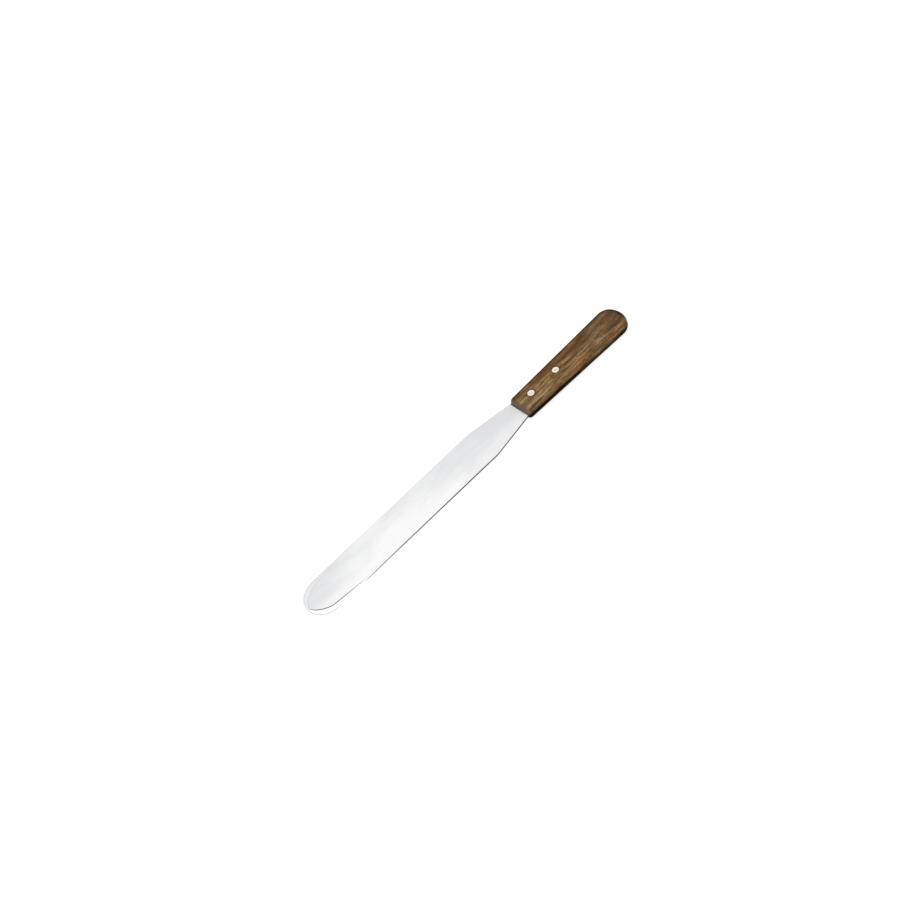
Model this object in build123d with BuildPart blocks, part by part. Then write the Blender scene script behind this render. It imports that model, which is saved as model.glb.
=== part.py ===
from build123d import *
from math import asin, cos, sqrt
import os

# Palette knife: a flexible steel blade whose half tang is riveted into a saw cut in a
# one-piece hardwood handle.
# Frame: X runs along the knife, tip at -X and butt at +X, Y across the blade, Z up.
# The origin is the middle of the knife's length and width, on the plane that the
# underside of the handle rests on.

INCH = 25.4

# Blade
blade_length = 8 * INCH
blade_width = 1.25 * INCH
shoulder_length = 36.8
shoulder_radius = 20.0
root_width = 19.0
root_thickness = 1.2
tip_thickness = 0.5

# Ground rim round the tip, on both faces
rim_length = 65.0
rim_width = 3.5
rim_apex_width = 1.6
rim_arch_radius = 1.35 * blade_width / 2
rim_edge_thickness = 0.2

# Half tang, the same piece of steel
tang_length = 48.5
tang_end_radius = 4.0
tang_hole_clearance = 0.05

# Handle
handle_length = 105.8
handle_front_width = 21.0
handle_butt_width = 26.2
butt_arc_radius = 18.0
butt_corner_radius = 10.2
handle_thickness = 7 / 16 * INCH
handle_edge_radius = 4.5
handle_front_radius = 3.0
saw_cut_length = 51.0
saw_radius = 75.0

# Cutler's rivets, each a hollow sleeve and a solid stud with a head of its own
rivet_setbacks = {"front": 13.5, "rear": 38.6}
rivet_head_diameter = 5.6
rivet_head_thickness = 1.0
rivet_head_recess = 0.12
rivet_head_chamfer = 0.15
rivet_sleeve_diameter = 3.2
rivet_stud_diameter = 2.2
rivet_end_gap = 0.5
rivet_stud_chamfer = 0.3
punch_mark_diameter = 2.4
punch_mark_depth = 0.15

# Places that follow from the sizes above
total_length = blade_length + handle_length
tip_x = -total_length / 2
butt_x = total_length / 2
front_x = tip_x + blade_length
shoulder_x = front_x - shoulder_length
rim_end_x = tip_x + rim_length
arc_start_x = tip_x + blade_width / 2
tang_end_x = front_x + tang_length
saw_cut_end_x = front_x + saw_cut_length
saw_cut_side_x = saw_cut_end_x - saw_radius * (1 - cos(asin(blade_width / 2 / saw_radius)))
middle_z = handle_thickness / 2
half_width = blade_width / 2
half_root = root_width / 2
half_front = handle_front_width / 2
half_butt = handle_butt_width / 2
butt_corner_x = butt_x - butt_arc_radius + sqrt(butt_arc_radius**2 - half_butt**2)
rivet_places = {end: front_x + setback for end, setback in rivet_setbacks.items()}
middle_plane = Plane.XY.offset(middle_z)

os.makedirs("parts", exist_ok=True)


def finish(builder, name):
    """Labels a finished piece and writes it as its own node."""
    builder.part.label = name
    export_step(builder.part, f"parts/{name}.step")


# Blade: one quarter is made, the +Y half of the upper half, and mirrored to the others.
with BuildPart() as blade:
    # The stretch behind the ground rim, with the tang, thinned from root to tip.
    with BuildSketch(middle_plane) as half_outline:
        with BuildLine():
            Polyline(
                (rim_end_x, 0),
                (tang_end_x, 0),
                (tang_end_x, half_root),
                (front_x, half_root),
                (shoulder_x, half_width),
                (rim_end_x, half_width),
                close=True,
            )
        make_face()
        fillet(half_outline.vertices().sort_by_distance((tang_end_x, half_root))[0], tang_end_radius)
        fillet(half_outline.vertices().sort_by_distance((shoulder_x, half_width))[0], shoulder_radius)
    extrude(amount=root_thickness / 2)
    with BuildSketch(Plane.XZ):
        with BuildLine():
            Polyline(
                (rim_end_x, middle_z),
                (tang_end_x, middle_z),
                (tang_end_x, middle_z + root_thickness / 2),
                (front_x, middle_z + root_thickness / 2),
                (rim_end_x, middle_z + tip_thickness / 2),
                close=True,
            )
        make_face()
    extrude(amount=-blade_width, mode=Mode.INTERSECT)

    # The half-round tip has a thin edge, and a ground rim that rises from it to a
    # pointed arch on the blade's face.
    rim_foot_plane = middle_plane.offset(rim_edge_thickness / 2)
    with BuildSketch(rim_foot_plane) as rim_foot:
        with BuildLine():
            Polyline(
                (tip_x, 0),
                (rim_end_x, 0),
                (rim_end_x, half_width),
                (arc_start_x, half_width),
            )
            RadiusArc((arc_start_x, half_width), (tip_x, 0), -half_width)
        make_face()
    with BuildSketch(middle_plane.offset(tip_thickness / 2)) as rim_top:
        with BuildLine():
            Polyline(
                (tip_x + rim_apex_width, 0),
                (rim_end_x, 0),
                (rim_end_x, half_width),
                (arc_start_x, half_width - rim_width),
            )
            RadiusArc(
                (arc_start_x, half_width - rim_width),
                (tip_x + rim_apex_width, 0),
                -rim_arch_radius,
            )
        make_face()
    loft([rim_foot.sketch.face(), rim_top.sketch.face()], ruled=True)
    extrude(rim_foot.sketch, amount=-rim_edge_thickness / 2)

    mirror(about=Plane.XZ)
    mirror(about=middle_plane)
    with Locations(*[(x, 0, middle_z) for x in rivet_places.values()]):
        Hole(radius=rivet_sleeve_diameter / 2 + tang_hole_clearance)
finish(blade, "blade")

# Handle: its straight sides run from the front to a shallow round end with well rounded
# corners. Both broad faces are rounded along the sides and the end, and the front less so.
with BuildPart() as handle:
    with BuildSketch() as handle_outline:
        with BuildLine():
            Polyline(
                (butt_corner_x, -half_butt),
                (front_x, -half_front),
                (front_x, half_front),
                (butt_corner_x, half_butt),
            )
            ThreePointArc((butt_corner_x, half_butt), (butt_x, 0), (butt_corner_x, -half_butt))
        make_face()
        fillet(handle_outline.vertices().sort_by(Axis.X)[-2:], butt_corner_radius)
    extrude(amount=handle_thickness)
    fillet(handle.faces().filter_by(Axis.Z).edges().sort_by(Axis.X)[2:], handle_edge_radius)
    fillet(handle.faces().sort_by(Axis.X)[0].edges(), handle_front_radius)

    # The saw cut for the tang, with the round bottom that a circular saw leaves.
    with BuildSketch(middle_plane):
        with BuildLine():
            Polyline(
                (saw_cut_side_x, -half_width),
                (tip_x, -half_width),
                (tip_x, half_width),
                (saw_cut_side_x, half_width),
            )
            ThreePointArc(
                (saw_cut_side_x, half_width),
                (saw_cut_end_x, 0),
                (saw_cut_side_x, -half_width),
            )
        make_face()
    extrude(amount=root_thickness / 2, both=True, mode=Mode.SUBTRACT)

    with Locations(*[(x, 0, handle_thickness) for x in rivet_places.values()]):
        Hole(radius=rivet_sleeve_diameter / 2)
    for face_plane in (Plane.XY.offset(handle_thickness), Plane.XY):
        with BuildSketch(face_plane):
            with Locations(*[(x, 0) for x in rivet_places.values()]):
                Circle(rivet_head_diameter / 2)
        extrude(amount=rivet_head_recess + rivet_head_thickness, both=True, mode=Mode.SUBTRACT)
finish(handle, "handle")

# Rivets: the sleeve's head shows in the upper face and the stud's in the lower one.
head_radius = rivet_head_diameter / 2
sleeve_radius = rivet_sleeve_diameter / 2
stud_radius = rivet_stud_diameter / 2
upper_head_z = handle_thickness - rivet_head_recess
lower_head_z = rivet_head_recess
sleeve_end_z = lower_head_z + rivet_head_thickness + rivet_end_gap
bore_end_z = upper_head_z - rivet_head_thickness
stud_end_z = bore_end_z - rivet_end_gap
mark_radius = punch_mark_diameter / 2
for end, rivet_x in rivet_places.items():
    section_plane = Plane.XZ.move(Location((rivet_x, 0, 0)))
    rivet_axis = Axis((rivet_x, 0, 0), (0, 0, 1))
    with BuildPart() as sleeve:
        with BuildSketch(section_plane):
            with BuildLine():
                Polyline(
                    (0, bore_end_z),
                    (stud_radius, bore_end_z),
                    (stud_radius, sleeve_end_z),
                    (sleeve_radius, sleeve_end_z),
                    (sleeve_radius, upper_head_z - rivet_head_thickness),
                    (head_radius, upper_head_z - rivet_head_thickness),
                    (head_radius, upper_head_z - rivet_head_chamfer),
                    (head_radius - rivet_head_chamfer, upper_head_z),
                    (mark_radius, upper_head_z),
                    (0, upper_head_z - punch_mark_depth),
                    close=True,
                )
            make_face()
        revolve(axis=rivet_axis)
    finish(sleeve, f"{end}_rivet_sleeve")

    with BuildPart() as stud:
        with BuildSketch(section_plane):
            with BuildLine():
                Polyline(
                    (0, lower_head_z + punch_mark_depth),
                    (mark_radius, lower_head_z),
                    (head_radius - rivet_head_chamfer, lower_head_z),
                    (head_radius, lower_head_z + rivet_head_chamfer),
                    (head_radius, lower_head_z + rivet_head_thickness),
                    (stud_radius, lower_head_z + rivet_head_thickness),
                    (stud_radius, stud_end_z - rivet_stud_chamfer),
                    (stud_radius - rivet_stud_chamfer, stud_end_z),
                    (0, stud_end_z),
                    close=True,
                )
            make_face()
        revolve(axis=rivet_axis)
    finish(stud, f"{end}_rivet_stud")
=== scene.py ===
from math import asin, atan2, cos, pi, radians, sin, sqrt, tan

import bmesh
import bpy
from mathutils import Matrix, Vector


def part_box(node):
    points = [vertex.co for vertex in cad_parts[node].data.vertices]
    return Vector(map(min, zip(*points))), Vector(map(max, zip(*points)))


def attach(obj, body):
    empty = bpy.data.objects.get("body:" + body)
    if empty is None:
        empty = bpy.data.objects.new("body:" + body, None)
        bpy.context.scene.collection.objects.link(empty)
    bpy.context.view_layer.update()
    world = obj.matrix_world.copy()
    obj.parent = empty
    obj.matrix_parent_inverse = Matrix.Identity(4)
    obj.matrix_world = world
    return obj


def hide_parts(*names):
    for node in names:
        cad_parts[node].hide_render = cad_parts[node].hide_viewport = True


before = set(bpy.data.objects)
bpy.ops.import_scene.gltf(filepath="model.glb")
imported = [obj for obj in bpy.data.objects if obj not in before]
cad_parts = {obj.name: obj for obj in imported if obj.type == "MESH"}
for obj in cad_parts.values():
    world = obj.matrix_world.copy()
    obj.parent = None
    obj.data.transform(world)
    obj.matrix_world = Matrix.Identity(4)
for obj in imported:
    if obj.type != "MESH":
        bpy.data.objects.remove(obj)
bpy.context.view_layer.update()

# Palette knife. Everything is in metres in the row frame: X from the tip to the butt,
# Y across the blade, Z up, with the handle's underside at z = 0.
MM = 0.001

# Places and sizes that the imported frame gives.
blade_low, blade_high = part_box("blade")
handle_low, handle_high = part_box("handle")
sleeve_low, sleeve_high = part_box("front_rivet_sleeve")
tip_x = blade_low.x
tang_end_x = blade_high.x
half_width = blade_high.y
middle_z = (blade_low.z + blade_high.z) / 2
root_thickness = blade_high.z - blade_low.z
front_x = handle_low.x
butt_x = handle_high.x
handle_height = handle_high.z
head_radius = (sleeve_high.x - sleeve_low.x) / 2

# Sizes inside the pieces, as in the design.
TIP_THICKNESS = 0.5 * MM
SHOULDER_LENGTH = 36.8 * MM
SHOULDER_RADIUS = 20 * MM
HALF_ROOT = 9.5 * MM
TANG_END_RADIUS = 4 * MM
RIM_LENGTH = 65 * MM
RIM_DROP = 0.15 * MM
HALF_FRONT = 10.5 * MM
HALF_BUTT = 13.1 * MM
BUTT_ARC_RADIUS = 18 * MM
BUTT_CORNER_RADIUS = 10.2 * MM
HANDLE_EDGE_RADIUS = 4.5 * MM
HANDLE_FRONT_RADIUS = 3 * MM
SAW_CUT_LENGTH = 51 * MM
SAW_RADIUS = 75 * MM
HEAD_THICKNESS = 1 * MM
HEAD_RECESS = 0.12 * MM
SLEEVE_RADIUS = 1.6 * MM
STUD_RADIUS = 1.1 * MM
STUD_LEAD = 0.3 * MM
TANG_HOLE_RADIUS = SLEEVE_RADIUS + 0.05 * MM
RIVETS = ("front", "rear")


# ---------------------------------------------------------------- mesh helpers

def arc(centre, radius, start, end, count):
    """count points on an arc from angle start to angle end, both included."""
    turns = [start + (end - start) * k / (count - 1) for k in range(count)]
    return [Vector((centre[0] + radius * cos(a), centre[1] + radius * sin(a))) for a in turns]


def line(start, end, count):
    """count points from start to end, both left out."""
    start, end = Vector(start), Vector(end)
    return [start.lerp(end, k / (count + 1)) for k in range(1, count + 1)]


def mirrored(points):
    return [Vector((p.x, -p.y)) for p in points]


def slab(name, rings, sides, ends):
    """A closed mesh from rings stacked upwards, closed by a grid of quads above and below.

    A ring runs along the +Y side in `sides` steps, across the far end in `ends` steps,
    back along the -Y side and across the near end.
    """
    verts = [p for ring in rings for p in ring]
    count = len(rings[0])
    faces = []
    for level in range(len(rings) - 1):
        for k in range(count):
            a = level * count + k
            b = level * count + (k + 1) % count
            faces.append((a, a + count, b + count, b))
    for first, upward in ((0, False), ((len(rings) - 1) * count, True)):
        grid = [[None] * (ends + 1) for _ in range(sides + 1)]
        for i in range(sides + 1):
            grid[i][0] = first + i
            grid[i][ends] = first + sides + ends + (sides - i)
        for j in range(1, ends):
            grid[sides][j] = first + sides + j
            grid[0][j] = first + count - j
        for i in range(1, sides):
            u = i / sides
            for j in range(1, ends):
                v = j / ends
                along = verts[grid[i][0]] * (1 - v) + verts[grid[i][ends]] * v
                across = verts[grid[0][j]] * (1 - u) + verts[grid[sides][j]] * u
                corners = (
                    verts[grid[0][0]] * ((1 - u) * (1 - v))
                    + verts[grid[0][ends]] * ((1 - u) * v)
                    + verts[grid[sides][0]] * (u * (1 - v))
                    + verts[grid[sides][ends]] * (u * v)
                )
                grid[i][j] = len(verts)
                verts.append(along + across - corners)
        for i in range(sides):
            for j in range(ends):
                quad = (grid[i][j], grid[i][j + 1], grid[i + 1][j + 1], grid[i + 1][j])
                faces.append(quad[::-1] if upward else quad)
    return mesh_object(name, verts, faces)


def lathe(name, profile, x, segments=64):
    """A closed solid of revolution about the upright axis at x. The profile runs from
    axis to axis as (radius, z)."""
    verts = []
    rings = []
    for radius, z in profile:
        if radius == 0:
            verts.append(Vector((x, 0, z)))
            rings.append([len(verts) - 1] * segments)
            continue
        rings.append(list(range(len(verts), len(verts) + segments)))
        for k in range(segments):
            a = 2 * pi * k / segments
            verts.append(Vector((x + radius * cos(a), radius * sin(a), z)))
    faces = []
    for lower, upper in zip(rings, rings[1:]):
        for k in range(segments):
            n = (k + 1) % segments
            corners = [lower[k], lower[n], upper[n], upper[k]]
            faces.append(tuple(dict.fromkeys(corners)))
    return mesh_object(name, verts, faces)


def prism(name, outline, low, high):
    """A closed solid with a flat outline of (x, y) points between two heights."""
    count = len(outline)
    verts = [Vector((p[0], p[1], z)) for z in (low, high) for p in outline]
    faces = [tuple(range(count))[::-1], tuple(range(count, 2 * count))]
    faces += [(k, (k + 1) % count, (k + 1) % count + count, k + count) for k in range(count)]
    return mesh_object(name, verts, faces)


def mesh_object(name, verts, faces):
    mesh = bpy.data.meshes.new(name)
    mesh.from_pydata(verts, [], faces)
    bm = bmesh.new()
    bm.from_mesh(mesh)
    bmesh.ops.recalc_face_normals(bm, faces=bm.faces)
    bm.to_mesh(mesh)
    bm.free()
    piece = bpy.data.objects.new(name, mesh)
    bpy.context.scene.collection.objects.link(piece)
    return piece


def cut(piece, cutters):
    """Cuts each cutter out of the piece and removes the cutter."""
    for cutter in cutters:
        step = piece.modifiers.new("cut", "BOOLEAN")
        step.operation = "DIFFERENCE"
        step.solver = "EXACT"
        step.object = cutter
    bpy.context.view_layer.update()
    graph = bpy.context.evaluated_depsgraph_get()
    result = bpy.data.meshes.new_from_object(piece.evaluated_get(graph))
    piece.modifiers.clear()
    piece.data = result
    for cutter in cutters:
        bpy.data.objects.remove(cutter)


def shade(piece, angle=35):
    """Smooth shading with edges sharper than the angle kept crisp."""
    mesh = piece.data
    mesh.polygons.foreach_set("use_smooth", [True] * len(mesh.polygons))
    mesh.set_sharp_from_angle(angle=radians(angle))


def weight(piece, name, value):
    """Stores value(position) at each vertex as a named attribute, for the materials."""
    layer = piece.data.attributes.new(name, "FLOAT", "POINT")
    layer.data.foreach_set("value", [value(v.co) for v in piece.data.vertices])


def smooth_step(low, high, value):
    t = min(1, max(0, (value - low) / (high - low)))
    return t * t * (3 - 2 * t)


def rise(stretch, value):
    """Climbs smoothly from 0 to 1 over a stretch given in millimetres."""
    start, end = stretch
    return smooth_step(start * MM, end * MM, value)


def rivet_x(end_name):
    low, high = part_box(f"{end_name}_rivet_sleeve")
    return (low.x + high.x) / 2


# ---------------------------------------------------------------- the handle

CORNER_STEPS = 7
SIDE_STEPS = 88
BUTT_CORNER_STEPS = 14
FRONT_STEPS = 20
SIDE_COUNT = CORNER_STEPS + SIDE_STEPS + BUTT_CORNER_STEPS
END_COUNT = 2 * CORNER_STEPS + FRONT_STEPS
ROUNDING_STEPS = 18
SAW_CUT_STEPS = 25

# The rings stop this far short of the top of the rounding, where the front corner's points
# would fall together.
CLIMB_LEFT = 0.004 * MM

# The rivets' holes open out a little at the handle's faces.
HOLE_MOUTH = 0.12 * MM
CUTTER_OVERRUN = 0.3 * MM

# The share of its shade that the near side has above the saw cut, and how much of that it
# loses towards the butt.
UPPER_SHARE = 0.52
UPPER_SHARE_LOSS = 0.2

# Where the sides take painted shade, in millimetres below the upper face.
NEAR_SHADE = (0.4, 2.2)
LOWER_NEAR_SHADE = (3.0, 6.2)
FAR_SHADE = (0, 0.25)

# Where that changes, in millimetres behind the front, across the handle and above its
# underside.
UPPER_SHARE_STRETCH = (35, 60)
END_GRAIN_STRETCH = (0.8, 3.2)
TOWARD_FAR_SIDE = (-2, 5)
BUTT_SHADE_SIDE = (-9, -3)
UNDERSIDE_EDGE = (0.05, 0.9)

# The butt's painted shade sets in between these distances from its end. On the front end the
# painted shade lies below the middle plane only, and changes within this distance of it.
BUTT_SHADE_START = 7 * MM
BUTT_SHADE_FULL = 2 * MM
MIDDLE_REACH = 0.5 * MM


def butt_shape():
    """The direction square to the handle's +Y side, the centre of the butt's shallow arc,
    and the centre of the corner arc that joins it to that side."""
    arc_centre = Vector((butt_x - BUTT_ARC_RADIUS, 0))
    corner_x = arc_centre.x + sqrt(BUTT_ARC_RADIUS**2 - HALF_BUTT**2)
    flare = atan2(HALF_BUTT - HALF_FRONT, corner_x - front_x)
    along = Vector((cos(flare), sin(flare)))
    square = Vector((-sin(flare), cos(flare)))
    start = Vector((front_x, HALF_FRONT)) - square * BUTT_CORNER_RADIUS - arc_centre
    reach = start.dot(along)
    gap = start.length_squared - (BUTT_ARC_RADIUS - BUTT_CORNER_RADIUS) ** 2
    corner_centre = arc_centre + start + along * (sqrt(reach**2 - gap) - reach)
    return square, arc_centre, corner_centre


SIDE_SQUARE, BUTT_CENTRE, BUTT_CORNER_CENTRE = butt_shape()


def front_corner(climb):
    """Points round the +Y front corner from the front face to the side, at a height where
    the sides have climbed this far into the rounding of their edges."""
    left = HANDLE_EDGE_RADIUS - climb
    turn_end = asin(max(0, 1 - left / HANDLE_FRONT_RADIUS))
    points = []
    for k in range(2 * CORNER_STEPS + 1):
        turn = turn_end + (pi / 2 - turn_end) * k / (2 * CORNER_STEPS)
        back = HANDLE_FRONT_RADIUS * (1 - cos(turn))
        inset = HANDLE_FRONT_RADIUS * (1 - sin(turn))
        radius = HANDLE_EDGE_RADIUS - inset
        half = HALF_FRONT - back * SIDE_SQUARE.x / SIDE_SQUARE.y
        y = half - HANDLE_EDGE_RADIUS + sqrt(max(0, radius**2 - climb**2))
        points.append(Vector((front_x + back, y)))
    return points


def handle_ring(z, climb):
    """The handle's outline at one height. climb is the height above the start of the
    rounding of its edges."""
    square_turn = atan2(SIDE_SQUARE.y, SIDE_SQUARE.x)
    inset = HANDLE_EDGE_RADIUS - sqrt(HANDLE_EDGE_RADIUS**2 - climb**2)
    corner = front_corner(climb)
    meet = BUTT_CORNER_CENTRE - BUTT_CENTRE
    meet_turn = atan2(meet.y, meet.x)
    radius = BUTT_CORNER_RADIUS - inset
    turn = arc(BUTT_CORNER_CENTRE, radius, square_turn, meet_turn, BUTT_CORNER_STEPS + 1)
    side = corner[CORNER_STEPS:] + line(corner[-1], turn[0], SIDE_STEPS - 1) + turn
    end = arc(BUTT_CENTRE, BUTT_ARC_RADIUS - inset, meet_turn, -meet_turn, END_COUNT + 1)
    half_front = corner[: CORNER_STEPS + 1][::-1]
    front = half_front + line(half_front[-1], mirrored(half_front)[-1], FRONT_STEPS - 1)
    front += mirrored(half_front)[::-1]
    outline = side + end[1:] + mirrored(side)[::-1][1:] + front[::-1][1:-1]
    return [Vector((p.x, p.y, z)) for p in outline]


def rivet_cutters():
    """The stepped holes for the rivets' heads and sleeves, from face to face."""
    depth = HEAD_RECESS + HEAD_THICKNESS
    lower_half = [
        (0, -CUTTER_OVERRUN),
        (head_radius + HOLE_MOUTH + CUTTER_OVERRUN, -CUTTER_OVERRUN),
        (head_radius, HOLE_MOUTH),
        (head_radius, depth),
        (SLEEVE_RADIUS, depth),
    ]
    profile = lower_half + [(r, handle_height - z) for r, z in lower_half[::-1]]
    return [lathe("bore", profile, rivet_x(end_name)) for end_name in RIVETS]


def saw_cutter():
    cut_end_x = front_x + SAW_CUT_LENGTH
    reach = half_width
    spread = asin(reach / SAW_RADIUS)
    end = arc((cut_end_x - SAW_RADIUS, 0), SAW_RADIUS, -spread, spread, SAW_CUT_STEPS)
    outline = [(front_x - reach, -reach)] + [tuple(p) for p in end] + [(front_x - reach, reach)]
    half_cut = root_thickness / 2
    return prism("saw_cut", outline, middle_z - half_cut, middle_z + half_cut)


def make_handle():
    top_climb = HANDLE_EDGE_RADIUS - CLIMB_LEFT
    rings = [(0, top_climb)]
    for k in range(1, ROUNDING_STEPS + 1):
        climb = HANDLE_EDGE_RADIUS * sin(pi / 2 * (1 - k / ROUNDING_STEPS))
        rings.append((HANDLE_EDGE_RADIUS - climb, min(climb, top_climb)))
    rings += [(handle_height - z, climb) for z, climb in rings[::-1]]
    handle = slab("handle_wood", [handle_ring(*r) for r in rings], SIDE_COUNT, END_COUNT)
    cut(handle, [saw_cutter()] + rivet_cutters())
    shade(handle)
    weight(handle, "side_oil_and_shade", side_oil_and_shade)
    weight(handle, "end_grain", end_grain)
    return handle


def side_oil_and_shade(p):
    """0 on the broad faces, rising to 1 on the sides: painted shade, with a little darkening
    from oil in the open side grain. The near side is darkest below the saw cut. The far side
    and the butt are dark from the very brim of the upper face."""
    below_face = handle_height - p.z
    upper = UPPER_SHARE - UPPER_SHARE_LOSS * rise(UPPER_SHARE_STRETCH, p.x - front_x)
    near = upper * rise(NEAR_SHADE, below_face)
    near += (1 - upper) * rise(LOWER_NEAR_SHADE, below_face)
    far = rise(FAR_SHADE, below_face)
    at_butt = smooth_step(butt_x - BUTT_SHADE_START, butt_x - BUTT_SHADE_FULL, p.x)
    far_share = max(rise(TOWARD_FAR_SIDE, p.y), at_butt * rise(BUTT_SHADE_SIDE, p.y))
    above_cut = smooth_step(middle_z - MIDDLE_REACH, middle_z + MIDDLE_REACH, p.z)
    side = near * (1 - far_share) + far * far_share
    return side * rise(UNDERSIDE_EDGE, p.z) * (1 - end_grain(p) * above_cut)


def end_grain(p):
    """1 on the front end and 0 a little way along the handle."""
    return 1 - rise(END_GRAIN_STRETCH, p.x - front_x)


# ---------------------------------------------------------------- the blade

TANG_CORNER_STEPS = 6
TANG_STEPS = 26
TAPER_STEPS = 20
SHOULDER_STEPS = 6
STRAIGHT_STEPS = 60
RIM_STEPS = 30
TIP_STEPS = 16
TANG_SIDE_COUNT = TANG_CORNER_STEPS + TANG_STEPS
BLADE_SIDE_COUNT = TANG_SIDE_COUNT + TAPER_STEPS + SHOULDER_STEPS + STRAIGHT_STEPS + RIM_STEPS + TIP_STEPS
BLADE_END_COUNT = 24
TANG_HOLE_SEGMENTS = 48
tip_centre_x = tip_x + half_width
shoulder_x = front_x - SHOULDER_LENGTH
rim_end_x = tip_x + RIM_LENGTH

# The rings of the blade's border from its edge inward, as (distance in, how much further
# in where the border carries painted shade, depth in bevels).
EDGE_BEVEL = 0.07 * MM
EDGE_BAND = 0.40 * MM
BORDER_RINGS = (
    (0, 0, 1),
    (0.02 * MM, 0, 0.3),
    (0.07 * MM, 0.16 * MM, 0),
    (0.26 * MM, 0.36 * MM, 0),
)

# The grinder's line is a shallow groove inside the ground rim, dark with residue and painted
# shade. Its outer flank narrows, and the groove grows shallow, where the rim is narrower than
# GROOVE_FULL_RIM. A border painted with shade pushes it further in.
GROOVE_DEPTH = 0.02 * MM
GROOVE_FLANK = 0.28 * MM
GROOVE_FLANK_LEAST = 0.04 * MM
GROOVE_FULL_RIM = 2 * MM
GROOVE_SHADED_BORDER_SHIFT = 0.3 * MM

# The ground rim drops less where it is narrower than this.
FULL_DROP_RIM = 3 * MM

# The share of each of the steel's attributes on those four rings and on the groove's four.
RING_SHARES = {
    "edge": (1, 0.95, 0.8, 0, 0, 0, 0, 0),
    "rim": (1, 1, 1, 1, 1, 1, 0, 0),
    "line": (0, 0, 0, 0, 0, 1, 1, 0),
}

# The ground rim's width in millimetres: at the very tip, what it gains beside the tip, at
# its widest, what it loses again before the half round ends, and where the straight side
# begins. RIM_RUN_OUT is the power by which it runs out along the side.
RIM_AT_TIP = 0.75
RIM_GAIN = 2.85
RIM_WIDEST = 3.6
RIM_LOSS = 0.5
RIM_AT_SIDE = 3.1
RIM_RUN_OUT = 1.8
RIM_WIDEST_TURN = radians(60)
RIM_SIDE_TURN = radians(90)
RIM_TURN_RATE = RIM_SIDE_TURN / RIM_WIDEST_TURN

# The grinder's line's width in millimetres, and what it gains on the near side of the tip.
LINE_WIDTH = 0.12
LINE_GAIN = 0.42

# The longest reach of the near edge's border of painted shade, as a multiple of the spreads in
# BORDER_RINGS, how much of the edge's painted shade is lifted, and how far the rim fades on
# the far side.
SHADED_BORDER_REACH = 1.25
EDGE_SHADE_LIFT = 0.8
FAR_FADE_SHARE = 0.75

# Stretches in millimetres behind the tip.
LINE_THINS = (16, 44)
SHADED_BORDER_GROWS = (38, 75)
SHADED_BORDER_ENDS = (125, 180)
EDGE_LIFT_GROWS = (14, 24)
EDGE_LIFT_ENDS = (36, 46)
FAR_FADE_GROWS = (10, 26)

# Stretches in millimetres across the blade, whose near side is at -Y.
LINE_NEAR = (4, -8)
SHADED_BORDER_NEAR = (2, -6)
EDGE_LIFT_NEAR = (-2, -8)
FAR_FADE_SIDE = (2, 10)

# The rim's colour fades in over these widths of the rim, in millimetres.
RIM_FADE_WIDTHS = (0.05, 1.3)


def blade_outline():
    """The blade's outline as a closed ring of (point, inward direction), from the tang's
    end along +Y to the tip and back along -Y."""
    corner = (tang_end_x - TANG_END_RADIUS, HALF_ROOT - TANG_END_RADIUS)
    bend = arc(corner, TANG_END_RADIUS, pi / 4, pi / 2, TANG_CORNER_STEPS + 1)
    root = Vector((front_x, HALF_ROOT))
    taper = atan2(half_width - HALF_ROOT, SHOULDER_LENGTH)
    trim = SHOULDER_RADIUS * tan(taper / 2)
    shoulder_centre = (shoulder_x - trim, half_width - SHOULDER_RADIUS)
    shoulder = arc(shoulder_centre, SHOULDER_RADIUS, pi / 2 - taper, pi / 2, SHOULDER_STEPS + 1)
    side = bend + line(bend[-1], root, TANG_STEPS - 1) + [root]
    side += line(root, shoulder[0], TAPER_STEPS - 1) + shoulder
    rim_start = Vector((rim_end_x, half_width))
    side += line(shoulder[-1], rim_start, STRAIGHT_STEPS - 1) + [rim_start]
    tip_side = arc((tip_centre_x, 0), half_width, pi / 2, 3 * pi / 4, TIP_STEPS + 1)
    side += line(rim_start, tip_side[0], RIM_STEPS - 1) + tip_side
    tip = arc((tip_centre_x, 0), half_width, 3 * pi / 4, 5 * pi / 4, BLADE_END_COUNT + 1)
    half_end = arc(corner, TANG_END_RADIUS, pi / 4, 0, TANG_CORNER_STEPS + 1)
    straight = BLADE_END_COUNT - 2 * TANG_CORNER_STEPS
    tang_end = half_end + line(half_end[-1], mirrored(half_end)[-1], straight - 1)
    tang_end += mirrored(half_end)[::-1]
    points = side + tip[1:] + mirrored(side)[::-1][1:] + tang_end[::-1][1:-1]
    count = len(points)
    ring = []
    for k, p in enumerate(points):
        along = (points[(k + 1) % count] - points[k - 1]).normalized()
        ring.append((p, Vector((-along.y, along.x))))
    return ring


def rim_width(p):
    """The ground rim is narrow at the very tip and widest beside it, and runs out along
    the sides."""
    if p.x < tip_centre_x:
        turn = atan2(abs(p.y), tip_centre_x - p.x)
        if turn < RIM_WIDEST_TURN:
            return (RIM_AT_TIP + RIM_GAIN * sin(turn * RIM_TURN_RATE)) * MM
        return (RIM_WIDEST - RIM_LOSS * smooth_step(RIM_WIDEST_TURN, RIM_SIDE_TURN, turn)) * MM
    run_out = min(1, (p.x - tip_centre_x) / (rim_end_x - tip_centre_x))
    return RIM_AT_SIDE * MM * (1 - run_out) ** RIM_RUN_OUT


def rim_drop(width, inset):
    """How far the ground rim lies below the face at a distance in from the edge."""
    return RIM_DROP * min(1, width / FULL_DROP_RIM) * max(0, 1 - inset / (width + EDGE_BAND))


def groove_width(p):
    """The grinder's line inside the rim is broad on the near side of the tip and fine on
    the rest."""
    near = rise(LINE_NEAR, p.y)
    beside_tip = 1 - rise(LINE_THINS, p.x - tip_x)
    return (LINE_WIDTH + LINE_GAIN * near * beside_tip) * MM


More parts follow.
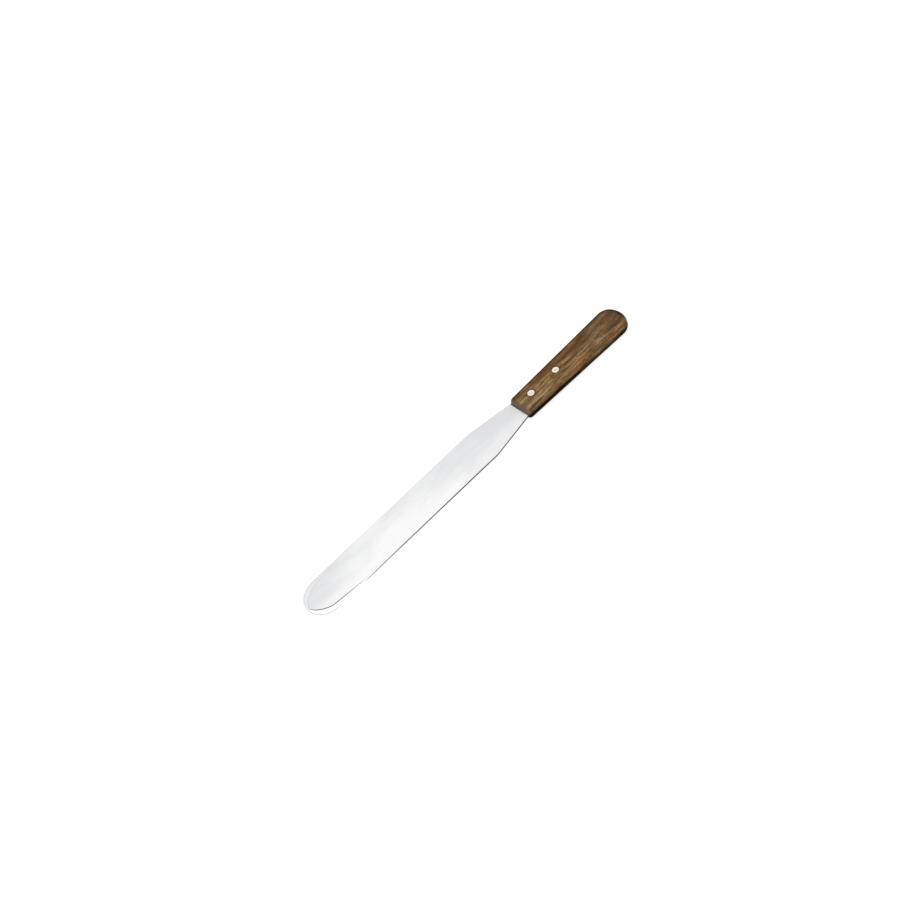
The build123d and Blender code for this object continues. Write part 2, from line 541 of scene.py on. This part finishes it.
def half_thickness(x):
    """The blade thins evenly from the handle to where its ground rim begins."""
    share = min(1, max(0, (x - rim_end_x) / (front_x - rim_end_x)))
    return (TIP_THICKNESS + (root_thickness - TIP_THICKNESS) * share) / 2


def shaded_border(p):
    """How far the painted shade on the near edge's border reaches onto the face, as a
    multiple of the spreads in BORDER_RINGS."""
    along = p.x - tip_x
    length = SHADED_BORDER_REACH * rise(SHADED_BORDER_GROWS, along) * (1 - rise(SHADED_BORDER_ENDS, along))
    return length * rise(SHADED_BORDER_NEAR, p.y)


def edge_shade_left(p):
    """The narrow edge is painted dark with shade, with less of it behind the tip on the near side."""
    along = p.x - tip_x
    lifted = rise(EDGE_LIFT_GROWS, along) * (1 - rise(EDGE_LIFT_ENDS, along))
    return 1 - EDGE_SHADE_LIFT * lifted * rise(EDGE_LIFT_NEAR, p.y)


def rim_colour_left(p):
    """The rim's painted reflection and the line inside it fade where the rim runs out, and along the far
    side.
    """
    far_side = rise(FAR_FADE_SIDE, p.y) * rise(FAR_FADE_GROWS, p.x - tip_x)
    return rise(RIM_FADE_WIDTHS, rim_width(p)) * (1 - FAR_FADE_SHARE * far_side)


def border_rings(outline):
    """The rings of the narrow edge and of the border inside it, above the middle plane."""
    rings = []
    for inset, spread, bevel in BORDER_RINGS:
        ring = []
        for p, inward in outline:
            reach = inset + spread * shaded_border(p)
            q = p + inward * reach
            z = half_thickness(q.x) - rim_drop(rim_width(p), reach) - EDGE_BEVEL * bevel
            ring.append(Vector((q.x, q.y, z)))
        rings.append(ring)
    return rings


def groove_rings(outline):
    """The four rings of the grinder's line, above the middle plane. The first is the head
    of the ground rim's slope and the last the border of the plain face."""
    rings = [[], [], [], []]
    for p, inward in outline:
        width = rim_width(p)
        share = min(1, width / GROOVE_FULL_RIM)
        foot = EDGE_BAND + width + GROOVE_SHADED_BORDER_SHIFT * shaded_border(p)
        flank = foot - GROOVE_FLANK_LEAST - (GROOVE_FLANK - GROOVE_FLANK_LEAST) * share
        crest = foot + groove_width(p)
        steps = (
            (flank, rim_drop(width, flank)),
            (foot, GROOVE_DEPTH * share),
            (crest, 0),
            (crest + GROOVE_FLANK, 0),
        )
        for ring, (inset, drop) in zip(rings, steps):
            q = p + inward * inset
            ring.append(Vector((q.x, q.y, half_thickness(q.x) - drop)))
    return rings


def store_shares(blade, outline):
    """Stores the edge, the ground rim and the grinder's line as attributes of the blade's
    vertices, for the steel's colour and polish. Their colours are painted shade on the edge, a
    painted reflection on the rim, and residue with painted shade in the line."""
    rim_left = [rim_colour_left(p) for p, _ in outline]
    left = {"edge": [edge_shade_left(p) for p, _ in outline], "rim": rim_left, "line": rim_left}
    for name, shares in RING_SHARES.items():
        values = [share * fade for share in shares[::-1] + shares for fade in left[name]]
        values += [0.0] * (len(blade.data.vertices) - len(values))
        layer = blade.data.attributes.new(name, "FLOAT", "POINT")
        layer.data.foreach_set("value", values)


def make_blade():
    outline = blade_outline()
    upper = border_rings(outline) + groove_rings(outline)
    lower = [[Vector((p.x, p.y, -p.z)) for p in ring] for ring in upper[::-1]]
    rings = [[p + Vector((0, 0, middle_z)) for p in ring] for ring in lower + upper]
    blade = slab("blade_steel", rings, BLADE_SIDE_COUNT, BLADE_END_COUNT)
    store_shares(blade, outline)

    low, high = -MM, handle_height + MM
    profile = [(0, low), (TANG_HOLE_RADIUS, low), (TANG_HOLE_RADIUS, high), (0, high)]
    cut(blade, [lathe("tang_hole", profile, rivet_x(end), TANG_HOLE_SEGMENTS) for end in RIVETS])
    shade(blade, 20)
    return blade


# ---------------------------------------------------------------- the rivets

RIVET_SEGMENTS = 96

# The head's face from its middle out to its rim, as (share of its radius, height above
# the face in millimetres): a shallow mark with a raised middle, and a low crown round it.
HEAD_FACE = (
    (0, -0.02),
    (0.11, -0.025),
    (0.22, -0.05),
    (0.33, -0.075),
    (0.42, -0.07),
    (0.50, -0.02),
    (0.58, 0.02),
    (0.68, 0.035),
    (0.78, 0.03),
    (0.87, 0.01),
    (0.93, -0.03),
    (0.97, -0.09),
    (0.99, -0.17),
)


def head_profile(face_z, inward):
    """From the head's middle out to its rim and down its side, as (radius, z). inward
    points from the face into the handle."""
    points = [(share * head_radius, face_z - inward * height * MM) for share, height in HEAD_FACE]
    points.append((points[-1][0], face_z + inward * HEAD_THICKNESS))
    return points


def make_rivet(end_name):
    """The two halves of a rivet, as (piece, node)."""
    low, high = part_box(f"{end_name}_rivet_sleeve")
    bore_end = high.z - HEAD_THICKNESS
    sleeve = head_profile(high.z, -1)
    sleeve += [(SLEEVE_RADIUS, bore_end), (SLEEVE_RADIUS, low.z), (STUD_RADIUS, low.z)]
    sleeve += [(STUD_RADIUS, bore_end), (0, bore_end)]
    low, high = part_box(f"{end_name}_rivet_stud")
    stud = head_profile(low.z, 1)
    stud += [(STUD_RADIUS, low.z + HEAD_THICKNESS), (STUD_RADIUS, high.z - STUD_LEAD)]
    stud += [(STUD_RADIUS - STUD_LEAD, high.z), (0, high.z)]
    pieces = []
    for half, profile in (("sleeve", sleeve), ("stud", stud)):
        piece = lathe(f"{end_name}_rivet_{half}_metal", profile, rivet_x(end_name), RIVET_SEGMENTS)
        shade(piece, 30)
        pieces.append((piece, f"{end_name}_rivet_{half}"))
    return pieces


# ---------------------------------------------------------------- materials

# Colours of the wood from its darkest tone to its palest, as (share of the range, colour),
# of its end grain, its pores, and its oil with painted shade, and tints that it is multiplied
# by, of which the far half's and the sides' are painted shade.
WOOD_TONES = (
    (0.0, (0.073, 0.033, 0.009, 1)),
    (0.35, (0.151, 0.078, 0.024, 1)),
    (0.65, (0.242, 0.137, 0.050, 1)),
    (1.0, (0.437, 0.277, 0.136, 1)),
)
END_GRAIN_COLOUR = (0.125, 0.096, 0.076, 1)
PORE_COLOUR = (0.030, 0.013, 0.004, 1)
OIL_AND_SHADE_COLOUR = (0.010, 0.006, 0.004, 1)
RED_PATCH_TINT = (1.14, 0.90, 0.76, 1)
OLIVE_PATCH_TINT = (0.92, 1.05, 1.02, 1)
BUTT_TINT = (0.70, 0.68, 0.64, 1)
FAR_HALF_SHADE_TINT = (0.72, 0.66, 0.57, 1)
SIDE_OIL_AND_SHADE_TINT = (0.15, 0.135, 0.11, 1)

# The steel's face out of and in its painted highlight, its brushing lines, the rim's painted reflection
# on the near and far sides, the grinder's line with residue and painted shade, the edge's painted shade,
# painted shade where the blade meets the handle, and the tang, stained and painted with the saw cut's
# shade.
STEEL_GREY_TONE_OUT_OF_HIGHLIGHT = (0.75, 0.757, 0.775, 1)
STEEL_PALE_TONE_IN_HIGHLIGHT = (0.94, 0.94, 0.935, 1)
BRUSH_COLOUR = (0.66, 0.67, 0.69, 1)
RIM_NEAR_REFLECTION = (0.93, 0.93, 0.93, 1)
RIM_FAR_REFLECTION = (0.74, 0.74, 0.765, 1)
LINE_RESIDUE_AND_SHADE = (0.12, 0.12, 0.13, 1)
EDGE_SHADE_COLOUR = (0.03, 0.03, 0.032, 1)
JOINT_SHADE_COLOUR = (0.02, 0.016, 0.012, 1)
TANG_STAIN_AND_SHADE = (0.10, 0.06, 0.03, 1)

NICKEL_SILVER = (0.95, 0.89, 0.75, 1)
TARNISH_COLOUR = (0.84, 0.77, 0.62, 1)
MARK_COLOUR = (0.50, 0.43, 0.32, 1)
HEAD_RIM_SHADE = (0.30, 0.24, 0.16, 1)

# Noises, as (how far they are drawn out along each axis, scale per millimetre, detail,
# roughness, distortion).
DRIFT = ((4, 1, 1), 0.14, 3.0, 0.5, 0.0)
FIGURE = ((5, 1, 1), 0.25, 3.0, 0.55, 0.0)
FLECK = ((9, 1, 1), 0.65, 3.0, 0.6, 0.4)
FIBRE = ((10, 1, 1), 2.0, 3.0, 0.65, 0.0)
SPECK = ((1.5, 1, 1), 1.1, 2.0, 0.6, 0.0)
PORE = ((9, 1, 1), 2.0, 2.0, 0.6, 0.2)
RED_PATCH = ((2.5, 1, 1), 0.11, 2.0, 0.5, 0.0)
OLIVE_PATCH = ((3, 1, 1), 0.17, 2.0, 0.5, 0.0)
BRUSHING = ((40, 1, 1), 5.0, 4.0, 0.7, 0.0)
CLOUD = ((3, 1, 1), 0.10, 3.0, 0.55, 0.0)
TARNISH = ((1, 1, 1), 0.9, 3.0, 0.6, 0.0)
SCUFF = ((1, 6, 1), 5.0, 3.0, 0.6, 0.0)

# The shares of four grains in the wood's tone, and the range of tones that is coloured.
GRAIN_SHARES = ((FIGURE, 0.32), (FLECK, 0.30), (FIBRE, 0.22), (SPECK, 0.18))
TONE_RANGE = (0.38, 0.62)
STREAK_DRIFT = 5.0

# Reaches in the wood in millimetres: of the stain with painted shade and of the dark mouth
# round a rivet, of the saw cut's dark line above the cut, what the end grain adds to that,
# and of the painted shade below the cut.
STAIN_AND_SHADE_REACH = 1.6
MOUTH_REACH = 0.5
KERF_REACH = 0.12
KERF_REACH_ON_END = 0.5
KERF_REACH_BELOW = 2.5

# Stretches in millimetres, about the saw cut's end and across the handle for the far half's
# painted shade, and where the tint of the butt begins behind the front.
KERF_ENDS = (-0.6, 0.4)
FAR_HALF_SHADE_RISES = (-6.0, 4.0)
BUTT_TINT_START = 55

# Stretches in millimetres along the blade, about the handle's front.
FILM_RISES = (-8, -0.5)
JOINT_SHADE_RISES = (-0.7, -0.3)
TANG_STAIN_AND_SHADE_RISES = (0.4, 1.0)

# Stretches in millimetres across the blade, whose near side is at -Y.
RIM_REFLECTION_TURNS = (-8.0, 6.0)
LINE_SHADE_FADES = (-7.0, 9.0)
FACE_HIGHLIGHT_FADES = (-16.0, 16.0)

# The blade's painted highlight is strongest this far behind its tip, and fades over this
# stretch, in millimetres, to either side of there.
HIGHLIGHT_BEHIND_TIP = 85 * MM
HIGHLIGHT_FADES = (10.0, 95.0)

# Stretches in millimetres from a rivet's axis.
MARK_RISES = (0.45, 0.95)
MARK_ENDS = (1.15, 1.6)
HEAD_RIM_SHADE_RISES = (2.5, 2.8)

# Places and sizes in millimetres, which the shaders work in.
PER_METRE = 1000
front_mm = PER_METRE * front_x
butt_mm = PER_METRE * butt_x
middle_mm = PER_METRE * middle_z
half_cut_mm = PER_METRE / 2 * root_thickness
head_mm = PER_METRE * head_radius
cut_end_mm = PER_METRE * (front_x + SAW_CUT_LENGTH)
highlight_mm = PER_METRE * (tip_x + HIGHLIGHT_BEHIND_TIP)


def put(tree, kind, inputs=None, **settings):
    """Adds a shader node. inputs maps a socket's name or number to a value or a socket."""
    node = tree.nodes.new("ShaderNode" + kind)
    for name, value in settings.items():
        setattr(node, name, value)
    for name, value in (inputs or {}).items():
        socket = node.inputs[name]
        if isinstance(value, bpy.types.NodeSocket):
            tree.links.new(value, socket)
        else:
            socket.default_value = value
    return node


def new_material(name):
    material = bpy.data.materials.new(name)
    material.use_nodes = True
    tree = material.node_tree
    return material, tree, tree.nodes["Principled BSDF"]


def maths(tree, operation, a, b=0.0, c=0.0, clamp=False):
    return put(tree, "Math", {0: a, 1: b, 2: c}, operation=operation, use_clamp=clamp).outputs[0]


def span(tree, value, low, high, to_low=0.0, to_high=1.0):
    """Maps low..high onto to_low..to_high, held at the ends."""
    inputs = {0: value, 1: low, 2: high, 3: to_low, 4: to_high}
    return put(tree, "MapRange", inputs, interpolation_type="SMOOTHSTEP").outputs[0]


def span_about(tree, value, middle, stretch, to_low=0.0, to_high=1.0):
    """As span, over a stretch that is measured from the middle given."""
    return span(tree, value, middle + stretch[0], middle + stretch[1], to_low, to_high)


def blend_colour(tree, share, a, b, mode="MIX"):
    inputs = {0: share, 6: a, 7: b}
    return put(tree, "Mix", inputs, data_type="RGBA", blend_type=mode).outputs[2]


def in_mm(tree, stretch=(1, 1, 1)):
    """The row frame's coordinates in millimetres, drawn out along chosen axes."""
    point = put(tree, "TexCoord").outputs["Object"]
    scale = [PER_METRE / s for s in stretch]
    return put(tree, "Mapping", {"Vector": point, "Scale": scale}).outputs[0]


def noise(tree, kind, output=0):
    """One of the noises above: its strength, or with output 1 its colour."""
    drawn_out, scale, detail, roughness, distortion = kind
    inputs = {"Vector": in_mm(tree, drawn_out), "Scale": scale, "Detail": detail}
    inputs.update({"Roughness": roughness, "Distortion": distortion})
    return put(tree, "TexNoise", inputs).outputs[output]


def attribute(tree, name):
    return put(tree, "Attribute", attribute_name=name).outputs["Fac"]


def vector_maths(tree, operation, a, b=(0, 0, 0)):
    return put(tree, "VectorMath", {0: a, 1: b}, operation=operation).outputs


def from_axis(tree, x):
    """The distance in millimetres from the upright axis at x."""
    point = put(tree, "TexCoord").outputs["Object"]
    flat = vector_maths(tree, "MULTIPLY", point, (PER_METRE, PER_METRE, 0))[0]
    return vector_maths(tree, "DISTANCE", flat, (PER_METRE * x, 0, 0))["Value"]


def nearest_rivet(tree):
    return maths(tree, "MINIMUM", *[from_axis(tree, rivet_x(end_name)) for end_name in RIVETS])


def add_bump(tree, surface, height, strength, distance):
    bump = put(tree, "Bump", {"Height": height, "Strength": strength, "Distance": distance})
    tree.links.new(bump.outputs[0], surface.inputs["Normal"])


DARK_STREAK = (0.036, 0.013, 0.003, 1)
RED_STREAK = (0.098, 0.038, 0.009, 1)
PALE_STREAK = (0.400, 0.260, 0.150, 1)

# Streaks in the grain of the handle: the distance behind its front, y, half length and half
# width in millimetres, then the colour that a streak turns the wood to, and how far.
STREAKS = (
    (26, 3.4, 9, 1.4, RED_STREAK, 0.7),
    (60, 3.6, 17, 2.6, RED_STREAK, 0.8),
    (87, 2.6, 11, 2.0, RED_STREAK, 0.6),
    (31, 0.5, 5, 0.5, DARK_STREAK, 0.7),
    (64, -2.6, 12, 0.8, DARK_STREAK, 0.75),
    (47, 2.2, 7, 0.7, DARK_STREAK, 0.5),
    (11, -9.0, 8, 0.6, DARK_STREAK, 0.8),
    (90, -6.0, 12, 0.8, DARK_STREAK, 0.5),
    (12, -7.6, 8, 0.5, PALE_STREAK, 0.7),
    (44, -8.2, 9, 0.5, PALE_STREAK, 0.6),
    (62, -5.0, 10, 0.7, PALE_STREAK, 0.35),
    (80, -9.6, 10, 0.6, PALE_STREAK, 0.7),
    (95, -11.0, 7, 0.8, PALE_STREAK, 0.6),
)


def grain_point(tree):
    """Points in millimetres, pushed about a little so that streaks wander."""
    centred = vector_maths(tree, "SUBTRACT", noise(tree, DRIFT, 1), (0.5, 0.5, 0.5))[0]
    pushed = put(tree, "VectorMath", {0: centred, "Scale": STREAK_DRIFT}, operation="SCALE").outputs[0]
    return vector_maths(tree, "ADD", in_mm(tree), pushed)[0]


def wood_figure(tree):
    """The wood's colour before any streak or stain: grain of four sizes, laid over one
    another and coloured by tone, with redder and more olive patches."""
    grains = [maths(tree, "MULTIPLY", noise(tree, kind), share) for kind, share in GRAIN_SHARES]
    tone = grains[0]
    for grain in grains[1:]:
        tone = maths(tree, "ADD", tone, grain)
    ramp = put(tree, "ValToRGB", {0: span(tree, tone, *TONE_RANGE)})
    stops = ramp.color_ramp.elements
    for position, _ in WOOD_TONES[1:-1]:
        stops.new(position)
    for stop, (_, colour) in zip(stops, WOOD_TONES):
        stop.color = colour
    red = span(tree, noise(tree, RED_PATCH), 0.42, 0.62, 0.0, 0.8)
    wood = blend_colour(tree, red, ramp.outputs[0], RED_PATCH_TINT, "MULTIPLY")
    olive = span(tree, noise(tree, OLIVE_PATCH), 0.48, 0.66, 0.0, 0.8)
    return blend_colour(tree, olive, wood, OLIVE_PATCH_TINT, "MULTIPLY")


def streaked(tree, wood):
    """The wood's colour with the streaks over it, each a soft long ellipse."""
    point = grain_point(tree)
    for ahead, y, half_length, half_streak, colour, share in STREAKS:
        offset = vector_maths(tree, "SUBTRACT", point, (front_mm + ahead, y, 0))[0]
        scaled = vector_maths(tree, "MULTIPLY", offset, (1 / half_length, 1 / half_streak, 0))[0]
        away = vector_maths(tree, "LENGTH", scaled)["Value"]
        wood = blend_colour(tree, span(tree, away, 0.2, 1.5, share, 0.0), wood, colour)
    return wood


def oil_and_recess_shade(tree, along, level, end):
    """The mouths of the rivet holes and of the saw cut are dark with old oil and painted shade,
    and the handle below the cut, in front of the cut's end, takes painted shade too. The cut's
    dark line spreads a little further up on the end grain."""
    away = nearest_rivet(tree)
    stain_and_shade = span(tree, away, head_mm, head_mm + STAIN_AND_SHADE_REACH, 0.38, 0.0)
    mouth = span(tree, away, head_mm, head_mm + MOUTH_REACH, 0.8, 0.0)
    mouth = maths(tree, "MAXIMUM", mouth, stain_and_shade)
    brim = maths(tree, "MULTIPLY_ADD", end, KERF_REACH_ON_END, half_cut_mm + KERF_REACH)
    above_cut = span(tree, level, half_cut_mm, brim, 0.9, 0.0)
    below_cut = span(tree, level, -half_cut_mm - KERF_REACH_BELOW, -half_cut_mm, 0.5, 1.0)
    kerf = maths(tree, "MULTIPLY", above_cut, below_cut)
    kerf = maths(tree, "MULTIPLY", kerf, span_about(tree, along, cut_end_mm, KERF_ENDS, 1.0, 0.0))
    return maths(tree, "MAXIMUM", mouth, kerf)


def wood_material():
    material, tree, surface = new_material("oiled_hardwood")
    fibre = noise(tree, FIBRE)
    pore = span(tree, noise(tree, PORE), 0.60, 0.70)
    wood = streaked(tree, wood_figure(tree))
    wood = blend_colour(tree, maths(tree, "MULTIPLY", pore, 0.45), wood, PORE_COLOUR)

    along, across, up = put(tree, "SeparateXYZ", {0: in_mm(tree)}).outputs
    toward_butt = span(tree, along, front_mm + BUTT_TINT_START, butt_mm)
    wood = blend_colour(tree, toward_butt, wood, BUTT_TINT, "MULTIPLY")
    # The far half of the handle is darkened with painted shade.
    wood = blend_colour(tree, span(tree, across, *FAR_HALF_SHADE_RISES), wood, FAR_HALF_SHADE_TINT, "MULTIPLY")
    end = attribute(tree, "end_grain")
    wood = blend_colour(tree, maths(tree, "MULTIPLY", end, 0.8), wood, END_GRAIN_COLOUR)
    # The sides take painted shade, with a little oil in their open grain.
    side = attribute(tree, "side_oil_and_shade")
    wood = blend_colour(tree, side, wood, SIDE_OIL_AND_SHADE_TINT, "MULTIPLY")
    level = maths(tree, "SUBTRACT", up, middle_mm)
    # Oil and painted shade round the rivets, in the saw cut and below it.
    wood = blend_colour(tree, oil_and_recess_shade(tree, along, level, end), wood, OIL_AND_SHADE_COLOUR)
    tree.links.new(wood, surface.inputs["Base Color"])

    satin = span(tree, fibre, 0.35, 0.7, 0.44, 0.56)
    rough = maths(tree, "ADD", satin, maths(tree, "MULTIPLY", pore, 0.2))
    tree.links.new(rough, surface.inputs["Roughness"])
    tree.links.new(span(tree, side, 0.0, 0.8, 0.22, 0.02), surface.inputs["Specular IOR Level"])
    height = maths(tree, "SUBTRACT", maths(tree, "MULTIPLY", fibre, 0.25), pore)
    add_bump(tree, surface, height, 0.4, 0.05 * MM)
    return material


def steel_face(tree, along, across, brushing):
    """The plain face carries a painted highlight, strongest part-way along the blade and on its
    near side, with soft clouds and fine lengthwise lines."""
    away = maths(tree, "ABSOLUTE", maths(tree, "SUBTRACT", along, highlight_mm))
    highlight_and_cloud = span(tree, away, *HIGHLIGHT_FADES, 1.0, 0.0)
    highlight_and_cloud = maths(tree, "ADD", highlight_and_cloud, span(tree, across, *FACE_HIGHLIGHT_FADES, 0.45, -0.45))
    highlight_and_cloud = maths(tree, "ADD", highlight_and_cloud, span(tree, noise(tree, CLOUD), 0.3, 0.7, -0.3, 0.3))
    highlight_and_cloud = maths(tree, "MULTIPLY_ADD", highlight_and_cloud, 0.70, 0.14, clamp=True)
    face = blend_colour(tree, highlight_and_cloud, STEEL_GREY_TONE_OUT_OF_HIGHLIGHT, STEEL_PALE_TONE_IN_HIGHLIGHT)
    return blend_colour(tree, span(tree, brushing, 0.3, 0.7, 0.0, 0.16), face, BRUSH_COLOUR)


def steel_material():
    material, tree, surface = new_material("satin_steel")
    brushing = noise(tree, BRUSHING)
    along, across, _ = put(tree, "SeparateXYZ", {0: in_mm(tree)}).outputs
    rim = attribute(tree, "rim")
    # The rim is painted with a reflection, pale on the near side and greyer on the far side.
    rim_reflection = blend_colour(tree, span(tree, across, *RIM_REFLECTION_TURNS), RIM_NEAR_REFLECTION, RIM_FAR_REFLECTION)
    steel = blend_colour(tree, rim, steel_face(tree, along, across, brushing), rim_reflection)
    # The grinder's line is dark with residue and painted shade, strongest on the near side.
    dark = maths(tree, "MULTIPLY", attribute(tree, "line"), span(tree, across, *LINE_SHADE_FADES, 0.95, 0.12))
    steel = blend_colour(tree, dark, steel, LINE_RESIDUE_AND_SHADE)
    # The narrow edge is painted near-black with shade.
    steel = blend_colour(tree, attribute(tree, "edge"), steel, EDGE_SHADE_COLOUR)
    # The steel is painted black with shade where it meets the handle, and the tang inside is stained by
    # the wood and painted with the saw cut's shade.
    joint_shade = span_about(tree, along, front_mm, JOINT_SHADE_RISES, 0.0, 0.85)
    steel = blend_colour(tree, joint_shade, steel, JOINT_SHADE_COLOUR)
    steel = blend_colour(tree, span_about(tree, along, front_mm, TANG_STAIN_AND_SHADE_RISES), steel, TANG_STAIN_AND_SHADE)
    tree.links.new(steel, surface.inputs["Base Color"])
    # A dry film dulls the steel close to the handle, where it is hard to wipe clean.
    film = span_about(tree, along, front_mm, FILM_RISES)
    tree.links.new(maths(tree, "MULTIPLY_ADD", film, -0.75, 1.0), surface.inputs["Metallic"])
    satin = span(tree, brushing, 0.25, 0.75, 0.34, 0.42)
    rough = put(tree, "Mix", {0: rim, 2: satin, 3: 0.17}, data_type="FLOAT").outputs[0]
    rough = maths(tree, "ADD", rough, maths(tree, "MULTIPLY", film, 0.15))
    tree.links.new(rough, surface.inputs["Roughness"])
    add_bump(tree, surface, brushing, 0.15, 0.01 * MM)
    return material


def rivet_material():
    """Nickel silver with light tarnish, darker in the ring of its mark, with painted shade round its rim.
    """
    material, tree, surface = new_material("nickel_silver")
    scuff = noise(tree, SCUFF)
    tarnish = span(tree, noise(tree, TARNISH), 0.4, 0.65, 0.0, 0.5)
    metal = blend_colour(tree, tarnish, NICKEL_SILVER, TARNISH_COLOUR)
    away = nearest_rivet(tree)
    mark = span(tree, away, *MARK_RISES, 0.3, 1.0)
    mark = maths(tree, "MULTIPLY", mark, span(tree, away, *MARK_ENDS, 1.0, 0.0))
    metal = blend_colour(tree, maths(tree, "MULTIPLY", mark, 0.45), metal, MARK_COLOUR)
    # Painted shade round the head's rim.
    metal = blend_colour(tree, span(tree, away, *HEAD_RIM_SHADE_RISES, 0.0, 0.7), metal, HEAD_RIM_SHADE)
    tree.links.new(metal, surface.inputs["Base Color"])
    surface.inputs["Metallic"].default_value = 1.0
    tree.links.new(span(tree, scuff, 0.3, 0.7, 0.28, 0.42), surface.inputs["Roughness"])
    add_bump(tree, surface, scuff, 0.25, 0.02 * MM)
    return material


# ---------------------------------------------------------------- stage, light and camera

FLOOR_HALF_SIZE = 30.0
FLOOR_COLOUR = 0.3
FLOOR_GLOW = 0.8
HORIZON_LIGHT = 0.5
OVERHEAD_LIGHT = 1.0
RAMP_LOW = 0.40
RAMP_HIGH = 0.95
GLOW_LIGHT = 0.33
GLOW_AZIMUTH = radians(16)
GLOW_ELEVATION = radians(55)
GLOW_REACH = radians(28)
LAMP_PLACE = (-0.25, -0.45, 1.2)
LAMP_SIZE = 0.8
LAMP_POWER = 5


def make_floor():
    size = FLOOR_HALF_SIZE
    corners = [Vector((a * size, b * size, 0)) for a, b in ((-1, -1), (1, -1), (1, 1), (-1, 1))]
    floor = mesh_object("floor", corners, [(0, 1, 2, 3)])
    material, tree, surface = new_material("pale_floor")
    surface.inputs["Base Color"].default_value = (FLOOR_COLOUR,) * 3 + (1,)
    surface.inputs["Roughness"].default_value = 0.9
    surface.inputs["Specular IOR Level"].default_value = 0.0
    surface.inputs["Emission Color"].default_value = (1, 1, 1, 1)
    surface.inputs["Emission Strength"].default_value = FLOOR_GLOW
    floor.data.materials.append(material)


def aimed(position, target, roll=0.0):
    """A rotation that points an object's -Z from position to target, turned about that line."""
    back = (Vector(position) - Vector(target)).normalized()
    return (back.to_track_quat("Z", "Y").to_matrix() @ Matrix.Rotation(roll, 3, "Z")).to_euler()


def add_light(name, position, target, size, power):
    data = bpy.data.lights.new(name, "AREA")
    data.shape = "RECTANGLE"
    data.size, data.size_y = size
    data.energy = power
    light = bpy.data.objects.new(name, data)
    light.location = position
    light.rotation_euler = aimed(position, target)
    bpy.context.scene.collection.objects.link(light)


def make_lights():
    """A pale room that brightens overhead, with a soft glow above and behind the knife
    that the blade mirrors, and one large lamp above the near side."""
    world = bpy.data.worlds.new("studio")
    bpy.context.scene.world = world
    world.use_nodes = True
    tree = world.node_tree
    direction = put(tree, "TexCoord").outputs["Generated"]
    height = put(tree, "SeparateXYZ", {0: direction}).outputs[2]
    room = span(tree, height, RAMP_LOW, RAMP_HIGH, HORIZON_LIGHT, OVERHEAD_LIGHT)
    level = cos(GLOW_ELEVATION)
    glow_middle = (sin(GLOW_AZIMUTH) * level, cos(GLOW_AZIMUTH) * level, sin(GLOW_ELEVATION))
    toward = put(tree, "VectorMath", {0: direction, 1: glow_middle}, operation="DOT_PRODUCT")
    glow = span(tree, toward.outputs["Value"], cos(GLOW_REACH), 1.0, 0.0, GLOW_LIGHT)
    background = tree.nodes["Background"]
    background.inputs["Color"].default_value = (1.0, 1.0, 1.0, 1)
    tree.links.new(maths(tree, "ADD", room, glow), background.inputs["Strength"])
    add_light("lamp", LAMP_PLACE, (0, 0, 0), (LAMP_SIZE, LAMP_SIZE), LAMP_POWER)


# The camera looks from beside the tip, half-way up, and is turned on its own axis so
# that the knife climbs to the right.
CAMERA_AZIMUTH = radians(-21.56)
CAMERA_ELEVATION = radians(47.77)
CAMERA_ROLL = radians(-27.13)
CAMERA_DISTANCE = 0.8855
CAMERA_AIM = 154 * MM
CAMERA_LENS = 50
CAMERA_SHIFT = (-0.01381, -0.00163)


def make_camera():
    data = bpy.data.cameras.new("camera")
    data.lens = CAMERA_LENS
    data.shift_x, data.shift_y = CAMERA_SHIFT
    camera = bpy.data.objects.new("camera", data)
    level = cos(CAMERA_ELEVATION)
    toward = Vector((sin(CAMERA_AZIMUTH) * level, -cos(CAMERA_AZIMUTH) * level, sin(CAMERA_ELEVATION)))
    target = Vector((tip_x + CAMERA_AIM, 0, middle_z))
    camera.location = target + toward * CAMERA_DISTANCE
    camera.rotation_euler = aimed(camera.location, target, CAMERA_ROLL)
    bpy.context.scene.collection.objects.link(camera)
    bpy.context.scene.camera = camera


# ---------------------------------------------------------------- assembly

def add_piece(piece, node, material):
    piece.data.materials.append(material)
    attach(piece, "root")
    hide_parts(node)


add_piece(make_blade(), "blade", steel_material())
add_piece(make_handle(), "handle", wood_material())
rivet_metal = rivet_material()
for rivet_end in RIVETS:
    for piece, node in make_rivet(rivet_end):
        add_piece(piece, node, rivet_metal)

make_floor()
make_lights()
make_camera()
bpy.context.scene.view_settings.view_transform = "Standard"
